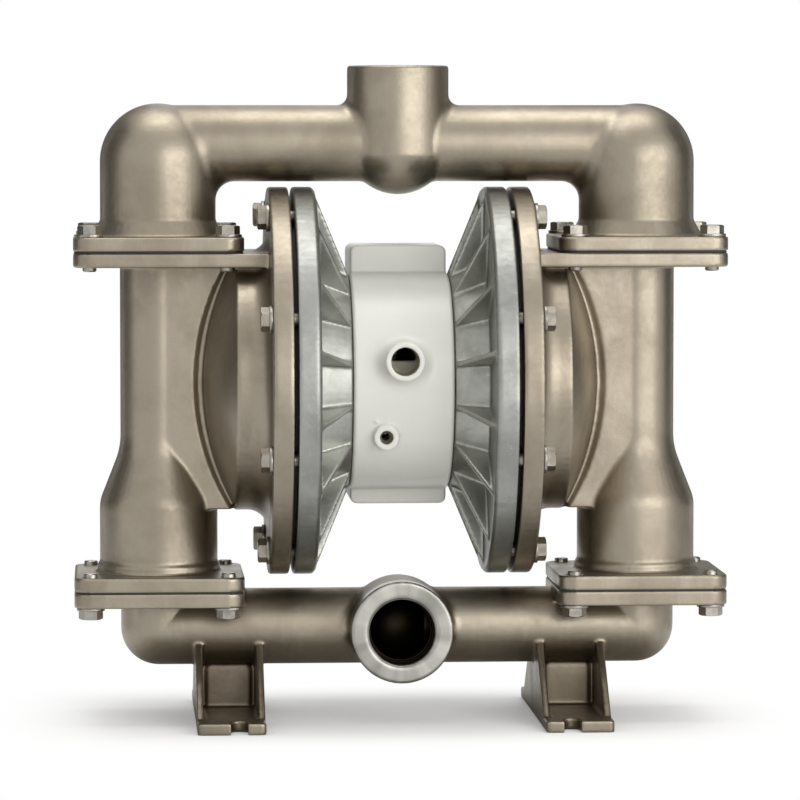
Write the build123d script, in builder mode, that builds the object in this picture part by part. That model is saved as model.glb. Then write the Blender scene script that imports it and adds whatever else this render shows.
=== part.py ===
from build123d import *
from math import cos, radians, sin, sqrt, tan
import os

# Air operated double diaphragm pump, metal, two inch ports. Millimetres.
# X runs along the diaphragm shaft, -Y is the front, Z is up, and the feet stand on Z = 0.

# Main layout
column_x = 208.0                # manifold elbows and chamber columns from the middle
suction_z = 79.6                # axis of the lower pipe
suction_joint_rise = 35.8       # lower pipe up to the lower flange joint
rim_rise = 10.1                 # lower flange joint up to the bottom of the rims
discharge_joint_rise = 1.0      # top of the bowl up to the upper flange joint
discharge_rise = 92.7           # upper flange joint up to the axis of the upper pipe
discharge_port_rise = 67.2      # axis of the upper pipe up to the face of its port
suction_port_y = -66.0          # front face of the suction port
overlap = 1.0                   # how far a shape runs into the one that it joins

# Pipes and ports
pipe_r = 33.0
pipe_bore_r = 26.0
tee_r = 44.0
tee_hollow_r = 36.0
tee_blend_r = 9.0
tee_bottom_r = 45.4             # round bottom of the upper tee
tee_bottom_drop = 10.0          # pipe's axis down to where it starts
port_thread_r = 28.33           # minor radius of a G2 thread
port_thread_depth = 26.0
port_chamfer = 2.2

# Square flanges and their joints
flange_side = 146.0
flange_corner_r = 15.0
flange_thickness = 12.2
flange_bolt_spacing = 118.0
gasket_thickness = 1.5
gasket_inset = 1.2

# Bolts, all M12
bolt_r = 6.0
bolt_head_flats = 18.0
bolt_head_height = 7.5
bolt_crown_inset = 0.27         # flat top of the head inside its flats
bolt_chamfer = 1.0
washer_r = 12.0
washer_thickness = 2.5
bolt_hole_r = 6.75
tapped_gap = 0.05               # shank to the wall of a tapped hole
bolt_end_proud = 3.5            # bolt end past the far plate

# Chamber rims on the diaphragm
rim_r = 168.0
rim_bolt_inset = 13.5           # bolt circle inside the rim's edge
rim_bolt_count = 8
rim_tap_depth = 14.0
rim_bolt_end_gap = 1.0
clamp_x = 94.25                 # middle of the diaphragm's clamped edge
diaphragm_thickness = 3.5
air_rim_width = 19.5
fluid_rim_width = 17.5
rim_edge_r = 1.5
rim_chamfer = 1.0
spotface_r = 12.4
spotface_height = 0.5

# Outer, fluid side
bowl_inset = 56.0               # bowl inside the rim's edge
bowl_wall = 6.0
bowl_depth = 28.5               # straight part of the bowl past its rim
bowl_blend_r = 18.0
dome_rise = 30.0
bowl_mouth_inset = 44.0         # mouth of the bowl inside the rim's edge
column_bore_rise = 120.6        # lower joint up to where the column starts to widen
barrel_rise = 74.6              # lower joint up to the top of the full barrel
barrel_r = 51.0
barrel_collar_r = 53.0
barrel_collar_height = 8.5
flare_upper_r = 60.0
flare_lower_r = 30.0
web_inset = 0.6                 # web side below the column's surface
web_arc_r = 205.0
web_edge_x = 176.0              # web edge at shaft height
web_root = 41.0                 # how far the web runs in past its edge
web_rise = 68.6                 # lower joint up to the bottom of the web
web_lip = 4.0                   # web past its core
web_lip_r = 3.0
web_core_setback = 14.0
window_width = 40.0
window_height = 150.0

# Upper elbows
elbow_r = 50.0
elbow_crown_rise = 77.2         # upper joint up to the centre of the round top
elbow_wall = 6.0
elbow_blend_r = 16.0
elbow_collar_r = 56.5
elbow_collar_height = 13.6

# Ball valves
ball_r = 32.0
ball_lift = 14.0
ball_gap = 0.3                  # ball to seat at rest, and to its stop when lifted
seat_bore_r = 25.0
seat_chamfer = 3.0
seat_r = 45.9
seat_gap = 0.1
seat_thickness = 11.25
cage_r = 44.0
guide_r = 33.2                  # inner edge of the guide ribs
guide_width = 7.0
guide_root_step = 4.0
guide_count = 4
stop_r = 20.0                   # inner end of the stops above the ball

# Feet
foot_x = 148.0
foot_width = 58.5
foot_length = 250.0
foot_base_thickness = 9.5
foot_plate_thickness = 6.0
foot_join_angle = 20.0          # where a foot plate meets the pipe, below its middle
foot_plate_bottom_y = 97.0
foot_slot_width = 14.0
foot_slot_inset = 6.5           # slots nearer to the middle than the foot
foot_slot_depth = 22.0
foot_web_thickness = 9.0
foot_pad_width = 39.0
foot_pad_height = 34.0
foot_pad_proud = 3.0
foot_corner_r = 4.0

# Air chambers
air_back_x = 43.5
air_back_inset = 2.0            # back of the air chamber inside the drum
hub_rise = 14.0                 # hub at the rim past the hub's back
hub_wall = 9.0
rib_crest_inset = 5.0           # ribs inside the rim's edge
rib_root = 5.0                  # how far a rib runs into the hub and the rim
rib_count = 16
rib_width = 4.5
dish_floor_x = 55.0
dish_floor_inset = 6.0          # floor of the dish inside the chamber's back
dish_inset = 40.0               # mouth of the dish inside the rim's edge
dish_blend_r = 3.0
rim_plate_thickness = 5.0       # rim behind the mouth of the dish

# Centre body
drum_r = 94.0
drum_edge_r = 3.0
block_half_width = 41.7
block_front_y = -3.0
block_rear_y = 85.0
block_rise = 117.1              # shaft up to the top of the valve block
block_drop = 107.5              # shaft down to its bottom
block_edge_r = 6.0
body_gasket_thickness = 0.5
body_gasket_inset = 2.0         # gasket inside the back of the air chamber
gasket_hole_gap = 1.0           # gasket hole round what passes through it
air_port_rise = 21.5            # shaft up to the air inlet
air_port_r = 12.06              # minor radius of a G3/4 thread
air_port_depth = 24.0
air_passage_r = 10.8            # half-round passage behind the thread
air_port_boss_r = 16.8
air_port_proud = 14.5           # boss past the front of the drum
air_port_blend_r = 11.0
pilot_port_x = -15.0
pilot_port_drop = 44.1          # shaft down to the pilot port
pilot_port_r = 5.72             # minor radius of a G1/4 thread
pilot_port_depth = 14.0
pilot_passage_r = 3.0
pilot_port_boss_r = 10.8
pilot_port_proud = 7.5          # boss past the drum
pilot_port_blend_r = 2.5
pip_x = -24.0
pip_drop = 30.5
pip_r = 1.6
exhaust_port_r = 12.06
exhaust_boss_r = 22.0
exhaust_boss_proud = 6.0

# Shaft, plates and diaphragms
stroke = 24.0                   # each way from the middle
shaft_r = 12.5
shaft_running_gap = 0.05
shaft_hole_r = 13.6             # clearance hole through the air chamber
bush_r = 16.0
bush_length = 18.0
seal_r = 19.0
seal_length = 7.0
plate_inset = 1.0               # diaphragm plate inside the floor of the dish
inner_plate_thickness = 12.0
outer_plate_thickness = 8.0
outer_plate_crown = 6.0
plate_edge_r = 3.0
diaphragm_inset = 20.0          # diaphragm inside the rim's edge
plate_bolt_length = 56.0
tapped_depth_spare = 4.0

# Main air valve, upright behind the shaft
valve_y = 48.0
sleeve_r = 22.0
sleeve_bore_r = 14.0
sleeve_drop = 74.5              # shaft down to the bottom of the sleeve
sleeve_rise = 78.5              # shaft up to its top
spool_gap = 0.05
spool_travel = 20.4
spool_end_gap = 0.3             # spool to a plug at either end of its travel
spool_waist_r = 8.0
spool_land = 22.0
plug_lip_r = 24.0
plug_recess = 5.0               # plug face below the block's face
circlip_thickness = 1.5
circlip_width = 3.2
fit_gap = 0.05                  # pieces pushed into their bores
cross_hole_r = 6.0
cross_hole_offset_z = 30.0

# Pilot valve, along X in front of the shaft
pilot_y = -40.0
pilot_drop = 43.5               # shaft down to the pilot
pilot_r = 5.0
pilot_chamfer = 1.0
pilot_bore_gap = 1.0
pilot_travel = 4.0
pilot_bush_r = 8.0
pilot_bush_length = 14.0
pilot_plate_gap = 0.3           # pilot end to the plate at full stroke

# Screws that hold the air chambers to the centre body, M8 socket heads
screw_r = 4.0
screw_head_r = 6.5
screw_head_height = 8.0
screw_socket_r = 3.46
screw_socket_depth = 4.5
screw_counterbore_r = 7.2
screw_counterbore_depth = 8.6
screw_inset = 16.0              # screws inside the back of the air chamber
screw_count = 6
screw_depth = 14.0
screw_tip_gap = 1.0
screw_hole_r = 4.5

# Exhaust silencer
silencer_r = 23.0
silencer_length = 62.0
silencer_flats = 36.0
silencer_hex_length = 9.0
silencer_rib_count = 6
silencer_rib_depth = 1.6
silencer_groove_share = 0.3     # of a rib's pitch
silencer_slope_share = 0.1

# Places that follow from the values above
bowl_r = rim_r - bowl_inset
bowl_mouth_r = rim_r - bowl_mouth_inset
rim_bolt_circle_r = rim_r - rim_bolt_inset
rib_crest_r = rim_r - rib_crest_inset
dish_r = rim_r - dish_inset
diaphragm_r = rim_r - diaphragm_inset
air_back_r = drum_r - air_back_inset
hub_r = air_back_r + hub_rise
dish_floor_r = air_back_r - dish_floor_inset
plate_r = dish_floor_r - plate_inset
body_gasket_r = air_back_r - body_gasket_inset
screw_circle_r = air_back_r - screw_inset
suction_joint_z = suction_z + suction_joint_rise
axis_z = suction_joint_z + rim_rise + rim_r
discharge_joint_z = axis_z + bowl_r + discharge_joint_rise
discharge_z = discharge_joint_z + discharge_rise
discharge_port_z = discharge_z + discharge_port_rise
elbow_crown_z = discharge_joint_z + elbow_crown_rise
column_bore_top_z = suction_joint_z + column_bore_rise
barrel_top_z = suction_joint_z + barrel_rise
web_bottom_z = suction_joint_z + web_rise
block_top_z = axis_z + block_rise
block_bottom_z = axis_z - block_drop
air_port_z = axis_z + air_port_rise
pilot_port_z = axis_z - pilot_port_drop
pip_z = axis_z - pip_drop
sleeve_bottom_z = axis_z - sleeve_drop
sleeve_top_z = axis_z + sleeve_rise
pilot_z = axis_z - pilot_drop
clamp_half = diaphragm_thickness / 2
air_rim_out_x = clamp_x - clamp_half
air_rim_in_x = air_rim_out_x - air_rim_width
fluid_rim_in_x = clamp_x + clamp_half
fluid_rim_out_x = fluid_rim_in_x + fluid_rim_width
bowl_end_x = fluid_rim_out_x + bowl_depth
gasket_half = gasket_thickness / 2
upper_plate_top_z = discharge_joint_z + gasket_half + flange_thickness
upper_plate_bottom_z = discharge_joint_z - gasket_half - flange_thickness
lower_plate_top_z = suction_joint_z + gasket_half + flange_thickness
lower_plate_bottom_z = suction_joint_z - gasket_half - flange_thickness
discharge_seat_z = discharge_joint_z + gasket_half
suction_seat_z = suction_joint_z + gasket_half
ball_seat_rise = sqrt((ball_r + ball_gap) ** 2 - seat_bore_r ** 2) - seat_chamfer
body_half = air_back_x - body_gasket_thickness
inner_plate_x = air_rim_out_x - inner_plate_thickness
outer_plate_x = fluid_rim_in_x + outer_plate_thickness
plate_bolt_x = outer_plate_x + outer_plate_crown
pilot_half = inner_plate_x - stroke - pilot_plate_gap - pilot_travel
drum_front_y = -drum_r
exhaust_face_y = drum_r + exhaust_boss_proud
air_port_front_y = drum_front_y - air_port_proud
pilot_port_front_y = -sqrt(drum_r ** 2 - pilot_port_drop ** 2) - pilot_port_proud
pump_axis = Axis((0, 0, axis_z), (1, 0, 0))
column_axis = Axis((column_x, 0, 0), (0, 0, 1))
column_plane = Plane(origin=(column_x, 0, 0), x_dir=(1, 0, 0), z_dir=(0, -1, 0))


def corners(spacing):
    """Centres of four bolts on a square."""
    half = spacing / 2
    return [(x, y) for x in (-half, half) for y in (-half, half)]


def rim_planes(x, direction):
    """Planes on the rim's bolt circle at x, facing along X in the given direction."""
    step = 360 / rim_bolt_count
    angles = [radians(step * (i + 0.5)) for i in range(rim_bolt_count)]
    return [
        Plane(
            origin=(x, rim_bolt_circle_r * cos(a), axis_z + rim_bolt_circle_r * sin(a)),
            x_dir=(0, 0, 1),
            z_dir=(direction, 0, 0),
        )
        for a in angles
    ]


def screw_planes(x):
    """Planes on the air chamber's screw circle at x, facing away from the middle."""
    angles = [radians(360 / screw_count * i) for i in range(screw_count)]
    return [
        Plane(
            origin=(x, screw_circle_r * cos(a), axis_z + screw_circle_r * sin(a)),
            x_dir=(0, 0, 1),
            z_dir=(1, 0, 0),
        )
        for a in angles
    ]


def left_copy(right_part):
    """The same piece on the other side of the middle."""
    with BuildPart() as copy:
        mirror(right_part, about=Plane.YZ)
    return copy.part


def hex_bolt(length):
    """Bolt with its head above the origin and its shank below it."""
    with BuildPart() as bolt:
        with BuildSketch():
            RegularPolygon(bolt_head_flats / 2, 6, major_radius=False)
        extrude(amount=bolt_head_height)
        with BuildSketch(Plane.XZ):
            with BuildLine():
                corner_r = bolt_head_flats / 2 / cos(radians(30))
                drop = (corner_r - bolt_head_flats / 2) * tan(radians(30))
                Polyline(
                    (0, 0), (corner_r, 0), (corner_r, bolt_head_height - drop),
                    (bolt_head_flats / 2 - bolt_crown_inset, bolt_head_height), (0, bolt_head_height), (0, 0),
                )
            make_face()
        revolve(axis=Axis.Z, mode=Mode.INTERSECT)
        with BuildSketch():
            Circle(bolt_r)
        extrude(amount=-length)
        chamfer(bolt.faces().sort_by(Axis.Z)[0].edges(), bolt_chamfer)
    return bolt.part


def placed(shape, planes):
    """Separate copies of one shape, one on each plane."""
    with BuildPart() as group:
        with Locations(*planes):
            add(shape)
    return group.part


def ring(outer_r, inner_r, thickness):
    """Flat ring standing on the origin."""
    with BuildPart() as washer:
        with BuildSketch():
            Circle(outer_r)
            Circle(inner_r, mode=Mode.SUBTRACT)
        extrude(amount=thickness)
    return washer.part


def guide_ribs(seat_z, outer_r):
    """Ribs that guide a ball above its seat and stop it at the top of its lift."""
    seat_top = seat_z + seat_thickness
    lifted_z = seat_top + ball_seat_rise + ball_lift
    stop_rise = (ball_r + ball_gap) * sqrt(2)
    with BuildPart() as ribs:
        with BuildSketch(Plane.XZ) as profile:
            with BuildLine():
                Polyline(
                    (outer_r, seat_top),
                    (guide_r, seat_top),
                    (guide_r, lifted_z + stop_rise - guide_r),
                    (stop_r, lifted_z + stop_rise - stop_r),
                    (outer_r - guide_root_step, lifted_z + stop_rise - stop_r),
                    (outer_r, lifted_z + stop_rise - guide_r),
                    (outer_r, seat_top),
                )
            make_face()
        with PolarLocations(0, guide_count, start_angle=180 / guide_count):
            extrude(profile.sketch, amount=guide_width / 2, both=True)
    return ribs.part


# Outer chamber: rim, bowl, column and both flanges in one casting
with BuildPart() as web_lips:
    web_half = pipe_r - web_inset
    web_far_x = web_edge_x - web_root
    with BuildSketch(Plane.XY.offset(web_bottom_z)):
        with Locations(((column_x + web_far_x) / 2, 0)):
            Rectangle(column_x - web_far_x, 2 * web_half)
    extrude(amount=upper_plate_bottom_z + overlap - web_bottom_z)
    with BuildSketch(Plane.XZ):
        with Locations((web_edge_x - web_arc_r, axis_z)):
            Circle(web_arc_r)
    extrude(amount=web_half + overlap, both=True, mode=Mode.SUBTRACT)
    lip_edges = web_lips.edges().filter_by(GeomType.LINE, reverse=True)
    fillet(lip_edges, web_lip_r)

with BuildPart() as web_core:
    core_half = web_half - web_lip
    with BuildSketch(Plane.XY.offset(web_bottom_z + web_lip)):
        with Locations(((column_x + clamp_x) / 2, 0)):
            Rectangle(column_x - clamp_x, 2 * core_half)
    extrude(amount=upper_plate_bottom_z + overlap - web_bottom_z - web_lip)
    with BuildSketch(Plane.XZ):
        with Locations((web_edge_x - web_arc_r, axis_z)):
            Circle(web_arc_r - web_core_setback)
    extrude(amount=core_half + overlap, both=True, mode=Mode.SUBTRACT)

with BuildPart() as outer_chamber_right:
    # Rim, bowl and dome
    with BuildSketch(Plane.XZ):
        with BuildLine():
            dome_radius = (dome_rise ** 2 + bowl_r ** 2) / (2 * dome_rise)
            Polyline(
                (bowl_end_x + dome_rise, axis_z),
                (fluid_rim_in_x, axis_z),
                (fluid_rim_in_x, axis_z + rim_r - rim_chamfer),
                (fluid_rim_in_x + rim_chamfer, axis_z + rim_r),
                (fluid_rim_out_x - rim_chamfer, axis_z + rim_r),
                (fluid_rim_out_x, axis_z + rim_r - rim_chamfer),
                (fluid_rim_out_x, axis_z + bowl_r + bowl_blend_r),
            )
            TangentArc(
                (fluid_rim_out_x, axis_z + bowl_r + bowl_blend_r),
                (fluid_rim_out_x + bowl_blend_r, axis_z + bowl_r),
                tangent=(0, -1),
            )
            Line((fluid_rim_out_x + bowl_blend_r, axis_z + bowl_r), (bowl_end_x, axis_z + bowl_r))
            RadiusArc((bowl_end_x, axis_z + bowl_r), (bowl_end_x + dome_rise, axis_z), dome_radius)
        make_face()
    revolve(axis=pump_axis)
    # Pads under the rim bolts
    with Locations(*rim_planes(fluid_rim_out_x, 1)):
        Cylinder(spotface_r, spotface_height, align=(Align.CENTER, Align.CENTER, Align.MIN))
    # Column widening into the lower barrel
    with BuildSketch(column_plane):
        with BuildLine():
            FilletPolyline(
                (pipe_r, upper_plate_bottom_z + overlap), (pipe_r, column_bore_top_z),
                (barrel_r, barrel_top_z), (barrel_r, lower_plate_top_z + barrel_collar_height),
                radius=[flare_upper_r, flare_lower_r],
            )
            Polyline(
                (barrel_r, lower_plate_top_z + barrel_collar_height),
                (barrel_collar_r, lower_plate_top_z + barrel_collar_height - rim_edge_r),
                (barrel_collar_r, lower_plate_top_z - overlap),
                (0, lower_plate_top_z - overlap),
                (0, upper_plate_bottom_z + overlap),
                (pipe_r, upper_plate_bottom_z + overlap),
            )
        make_face()
    revolve(axis=column_axis)
    # Web between the column and the bowl
    add(web_core.part)
    add(web_lips.part)
    # Lower flange, and the upper flange that reaches in to the rim
    with BuildSketch(Plane.XY.offset(suction_seat_z)):
        with Locations((column_x, 0)):
            RectangleRounded(flange_side, flange_side, flange_corner_r)
    extrude(amount=flange_thickness)
    with BuildSketch(Plane.XY.offset(upper_plate_bottom_z)):
        with Locations((column_x, 0)):
            RectangleRounded(flange_side, flange_side, flange_corner_r)
        with Locations(((clamp_x + column_x) / 2, 0)):
            Rectangle(column_x - clamp_x, flange_side)
    extrude(amount=flange_thickness)
    with BuildSketch(Plane.YZ.offset(fluid_rim_in_x)):
        with Locations((0, axis_z)):
            Rectangle(4 * rim_r, 4 * rim_r)
    extrude(amount=-2 * fluid_rim_in_x, mode=Mode.SUBTRACT)
    # Fluid cavity
    with BuildSketch(Plane.XZ):
        with BuildLine():
            inner_r = bowl_r - bowl_wall
            inner_rise = dome_rise - bowl_wall
            inner_radius = (inner_rise ** 2 + inner_r ** 2) / (2 * inner_rise)
            Polyline(
                (bowl_end_x + inner_rise, axis_z),
                (fluid_rim_in_x, axis_z),
                (fluid_rim_in_x, axis_z + bowl_mouth_r),
                (fluid_rim_in_x + bowl_wall, axis_z + bowl_mouth_r),
                (fluid_rim_out_x + bowl_wall, axis_z + inner_r),
                (bowl_end_x, axis_z + inner_r),
            )
            RadiusArc((bowl_end_x, axis_z + inner_r), (bowl_end_x + inner_rise, axis_z), inner_radius)
        make_face()
    revolve(axis=pump_axis, mode=Mode.SUBTRACT)
    # Bore of the column, cage of the lower ball and pocket of its seat
    with BuildSketch(column_plane):
        Polygon(
            (0, discharge_joint_z), (pipe_bore_r, discharge_joint_z),
            (pipe_bore_r, column_bore_top_z), (cage_r, barrel_top_z),
            (cage_r, suction_seat_z + seat_thickness), (seat_r + seat_gap, suction_seat_z + seat_thickness),
            (seat_r + seat_gap, suction_joint_z), (0, suction_joint_z), align=None,
        )
    revolve(axis=column_axis, mode=Mode.SUBTRACT)
    # Window from the bowl to the column
    with BuildSketch(Plane.YZ.offset(bowl_end_x)):
        with Locations((0, axis_z)):
            SlotOverall(window_height, window_width, rotation=90)
    extrude(amount=column_x - bowl_end_x, mode=Mode.SUBTRACT)
    # Guide ribs of the lower ball
    with Locations((column_x, 0, 0)):
        add(guide_ribs(suction_seat_z, (cage_r + barrel_r) / 2))
    # Bolt holes
    with BuildSketch(*rim_planes(fluid_rim_in_x, 1)):
        Circle(bolt_hole_r)
    extrude(amount=fluid_rim_width + 2 * spotface_height, mode=Mode.SUBTRACT)
    with BuildSketch(Plane.XY.offset(suction_seat_z)):
        with Locations(*[(column_x + x, y) for x, y in corners(flange_bolt_spacing)]):
            Circle(bolt_r + tapped_gap)
    extrude(amount=flange_thickness, mode=Mode.SUBTRACT)
    with BuildSketch(Plane.XY.offset(upper_plate_bottom_z + flange_thickness)):
        with Locations(*[(column_x + x, y) for x, y in corners(flange_bolt_spacing)]):
            Circle(bolt_r + tapped_gap)
    extrude(amount=-flange_thickness - bolt_end_proud - tapped_gap, mode=Mode.SUBTRACT)

# Inner chamber on the air side: hub, tapped rim, gusset ribs and dish
with BuildPart() as air_chamber_right:
    with BuildSketch(Plane.XZ):
        with BuildLine():
            Polyline(
                (air_back_x, axis_z),
                (air_back_x, axis_z + air_back_r),
                (air_rim_in_x, axis_z + hub_r),
                (air_rim_in_x, axis_z + rim_r - 2 * rim_edge_r),
                (air_rim_in_x + 2 * rim_edge_r, axis_z + rim_r),
                (air_rim_out_x - rim_chamfer, axis_z + rim_r),
                (air_rim_out_x, axis_z + rim_r - rim_chamfer),
                (air_rim_out_x, axis_z),
                (air_back_x, axis_z),
            )
        make_face()
    revolve(axis=pump_axis)
    with BuildSketch(Plane.XZ, mode=Mode.PRIVATE) as rib_profile:
        Polygon(
            (air_back_x, air_back_r - rib_root), (air_back_x, air_back_r),
            (air_rim_in_x, rib_crest_r), (air_rim_in_x + rib_root, rib_crest_r),
            (air_rim_in_x + rib_root, hub_r - rib_root), align=None,
        )
    rib_step = 360 / rib_count
    for i in range(rib_count):
        rib_angle = radians(rib_step * (i + 0.5))
        rib_plane = Plane(
            origin=(0, 0, axis_z), x_dir=(1, 0, 0), z_dir=(0, -sin(rib_angle), cos(rib_angle)),
        )
        extrude(rib_plane * rib_profile.sketch.rotate(Axis.X, -90), amount=rib_width / 2, both=True)
    with BuildSketch(Plane.XZ):
        with BuildLine():
            plate_x = air_rim_in_x + rim_plate_thickness
            FilletPolyline(
                (dish_floor_x, axis_z), (dish_floor_x, axis_z + dish_floor_r),
                (air_rim_in_x, axis_z + hub_r - hub_wall), (plate_x, axis_z + hub_r - overlap),
                (plate_x, axis_z + dish_r), (air_rim_out_x, axis_z + dish_r),
                radius=dish_blend_r,
            )
            Polyline(
                (air_rim_out_x, axis_z + dish_r), (air_rim_out_x, axis_z), (dish_floor_x, axis_z),
            )
        make_face()
    revolve(axis=pump_axis, mode=Mode.SUBTRACT)
    # Holes for the shaft, the pilot, the air passage, the screws and the rim bolts
    with BuildSketch(Plane.YZ.offset(air_back_x)):
        with Locations((0, axis_z)):
            Circle(shaft_hole_r)
        with Locations((pilot_y, pilot_z)):
            Circle(pilot_bush_r)
        with Locations((valve_y, axis_z + cross_hole_offset_z), (valve_y, axis_z - cross_hole_offset_z)):
            Circle(cross_hole_r)
    extrude(amount=dish_floor_x - air_back_x, mode=Mode.SUBTRACT)
    with Locations(*screw_planes(dish_floor_x)):
        CounterBoreHole(screw_hole_r, screw_counterbore_r, screw_counterbore_depth)
    with BuildSketch(*rim_planes(air_rim_out_x, -1)):
        Circle(bolt_r + tapped_gap)
    extrude(amount=rim_tap_depth, mode=Mode.SUBTRACT)

# Gasket between the centre body and an air chamber
with BuildPart() as body_gasket_right:
    with BuildSketch(Plane.YZ.offset(body_half)):
        with Locations((0, axis_z)):
            Circle(body_gasket_r)
            Circle(seal_r + gasket_hole_gap, mode=Mode.SUBTRACT)
        with Locations((pilot_y, pilot_z)):
            Circle(pilot_bush_r + gasket_hole_gap, mode=Mode.SUBTRACT)
        with Locations((valve_y, axis_z + cross_hole_offset_z), (valve_y, axis_z - cross_hole_offset_z)):
            Circle(cross_hole_r + gasket_hole_gap, mode=Mode.SUBTRACT)
        with Locations((0, axis_z)):
            with PolarLocations(screw_circle_r, screw_count):
                Circle(screw_hole_r, mode=Mode.SUBTRACT)
    extrude(amount=body_gasket_thickness)

# Centre body: drum in front, valve block behind, all the ports and bores
with BuildPart() as center_body:
    with BuildSketch(Plane.YZ.offset(-body_half)):
        with Locations((0, axis_z)):
            Circle(drum_r)
    extrude(amount=2 * body_half)
    fillet(center_body.edges().filter_by(GeomType.CIRCLE), drum_edge_r)
    with BuildSketch(Plane.XZ.offset(-block_rear_y)):
        with Locations((0, (block_top_z + block_bottom_z) / 2)):
            RectangleRounded(2 * block_half_width, block_top_z - block_bottom_z, block_edge_r)
    extrude(amount=block_rear_y - block_front_y)
    # Air inlet boss with its flare
    with BuildSketch(Plane.XZ.offset(-air_port_front_y)):
        with Locations((0, air_port_z)):
            Circle(air_port_boss_r)
    extrude(amount=air_port_front_y / 2)
    flare_edges = [
        e for e in center_body.edges(Select.LAST)
        if e.geom_type != GeomType.CIRCLE and e.geom_type != GeomType.LINE
    ]
    fillet(flare_edges, air_port_blend_r)
    # Pilot port boss
    with BuildSketch(Plane.XZ.offset(-pilot_port_front_y)):
        with Locations((pilot_port_x, pilot_port_z)):
            Circle(pilot_port_boss_r)
    extrude(amount=pilot_port_front_y / 2)
    pilot_edges = [
        e for e in center_body.edges(Select.LAST)
        if e.geom_type != GeomType.CIRCLE and e.geom_type != GeomType.LINE
    ]
    fillet(pilot_edges, pilot_port_blend_r)
    # Small pip in the casting
    with Locations((pip_x, -sqrt(drum_r ** 2 - (pip_z - axis_z) ** 2), pip_z)):
        Sphere(pip_r)
    # Exhaust boss at the back
    with BuildSketch(Plane.XZ.offset(-exhaust_face_y)):
        with Locations((0, axis_z)):
            Circle(exhaust_boss_r)
    extrude(amount=exhaust_face_y - block_rear_y / 2)
    # Shaft bore with its bush and seal pockets
    with BuildSketch(Plane.XZ):
        with BuildLine():
            bush_in_x = body_half - seal_length - bush_length
            half_profile = [
                (0, 0), (0, shaft_hole_r), (bush_in_x, shaft_hole_r), (bush_in_x, bush_r + fit_gap),
                (body_half - seal_length, bush_r + fit_gap), (body_half - seal_length, seal_r + fit_gap),
                (body_half, seal_r + fit_gap), (body_half, 0),
            ]
            right_side = [(x, axis_z + r) for x, r in half_profile[1:]]
            left_side = [(-x, axis_z + r) for x, r in reversed(half_profile[1:])]
            Polyline(*right_side, *left_side, close=True)
        make_face()
    revolve(axis=pump_axis, mode=Mode.SUBTRACT)
    # Valve bore with its plug pockets
    valve_plane = Plane(origin=(0, valve_y, 0), x_dir=(1, 0, 0), z_dir=(0, -1, 0))
    with BuildSketch(valve_plane):
        with BuildLine():
            groove_top = block_top_z - plug_recess
            groove_bottom = block_bottom_z + plug_recess
            outline = [
                (plug_lip_r, block_bottom_z), (plug_lip_r, groove_bottom - circlip_thickness),
                (plug_lip_r + circlip_width / 2, groove_bottom - circlip_thickness),
                (plug_lip_r + circlip_width / 2, groove_bottom), (plug_lip_r, groove_bottom),
                (plug_lip_r, sleeve_bottom_z), (sleeve_r + fit_gap, sleeve_bottom_z),
                (sleeve_r + fit_gap, sleeve_top_z), (plug_lip_r, sleeve_top_z),
                (plug_lip_r, groove_top), (plug_lip_r + circlip_width / 2, groove_top),
                (plug_lip_r + circlip_width / 2, groove_top + circlip_thickness),
                (plug_lip_r, groove_top + circlip_thickness), (plug_lip_r, block_top_z),
            ]
            Polyline((0, block_bottom_z), *outline, (0, block_top_z), close=True)
        make_face()
    revolve(axis=Axis((0, valve_y, 0), (0, 0, 1)), mode=Mode.SUBTRACT)
    # Air inlet: threaded mouth, then a half-round passage to the valve
    with BuildSketch(Plane.XZ.offset(-air_port_front_y)):
        with Locations((0, air_port_z)):
            Circle(air_port_r)
    extrude(amount=-air_port_depth, mode=Mode.SUBTRACT)
    with BuildSketch(Plane.XZ.offset(-air_port_front_y)):
        with Locations((0, air_port_z)):
            Circle(air_passage_r)
        with Locations((0, air_port_z - air_passage_r)):
            Rectangle(2 * air_passage_r, 2 * air_passage_r, mode=Mode.SUBTRACT)
    extrude(amount=air_port_front_y - valve_y, mode=Mode.SUBTRACT)
    # Pilot port, pilot bore and bush pockets
    with BuildSketch(Plane.XZ.offset(-pilot_port_front_y)):
        with Locations((pilot_port_x, pilot_port_z)):
            Circle(pilot_port_r)
    extrude(amount=-pilot_port_depth, mode=Mode.SUBTRACT)
    with BuildSketch(Plane.XZ.offset(-pilot_port_front_y)):
        with Locations((pilot_port_x, pilot_port_z)):
            Circle(pilot_passage_r)
    extrude(amount=pilot_port_front_y - pilot_y, mode=Mode.SUBTRACT)
    with BuildSketch(Plane.YZ.offset(-body_half)):
        with Locations((pilot_y, pilot_z)):
            Circle(pilot_r + pilot_bore_gap)
    extrude(amount=2 * body_half, mode=Mode.SUBTRACT)
    for pocket_plane, way in ((Plane.YZ.offset(body_half), -1), (Plane.YZ.offset(-body_half), 1)):
        with BuildSketch(pocket_plane):
            with Locations((pilot_y, pilot_z)):
                Circle(pilot_bush_r + fit_gap)
        extrude(amount=way * pilot_bush_length, mode=Mode.SUBTRACT)
    # Air passages out to the two chambers
    with BuildSketch(Plane.YZ):
        with Locations((valve_y, axis_z + cross_hole_offset_z)):
            Circle(cross_hole_r)
    extrude(amount=body_half, mode=Mode.SUBTRACT)
    with BuildSketch(Plane.YZ):
        with Locations((valve_y, axis_z - cross_hole_offset_z)):
            Circle(cross_hole_r)
    extrude(amount=-body_half, mode=Mode.SUBTRACT)
    # Exhaust port
    with BuildSketch(Plane.XZ.offset(-exhaust_face_y)):
        with Locations((0, axis_z)):
            Circle(exhaust_port_r)
    extrude(amount=exhaust_face_y - valve_y, mode=Mode.SUBTRACT)
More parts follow.
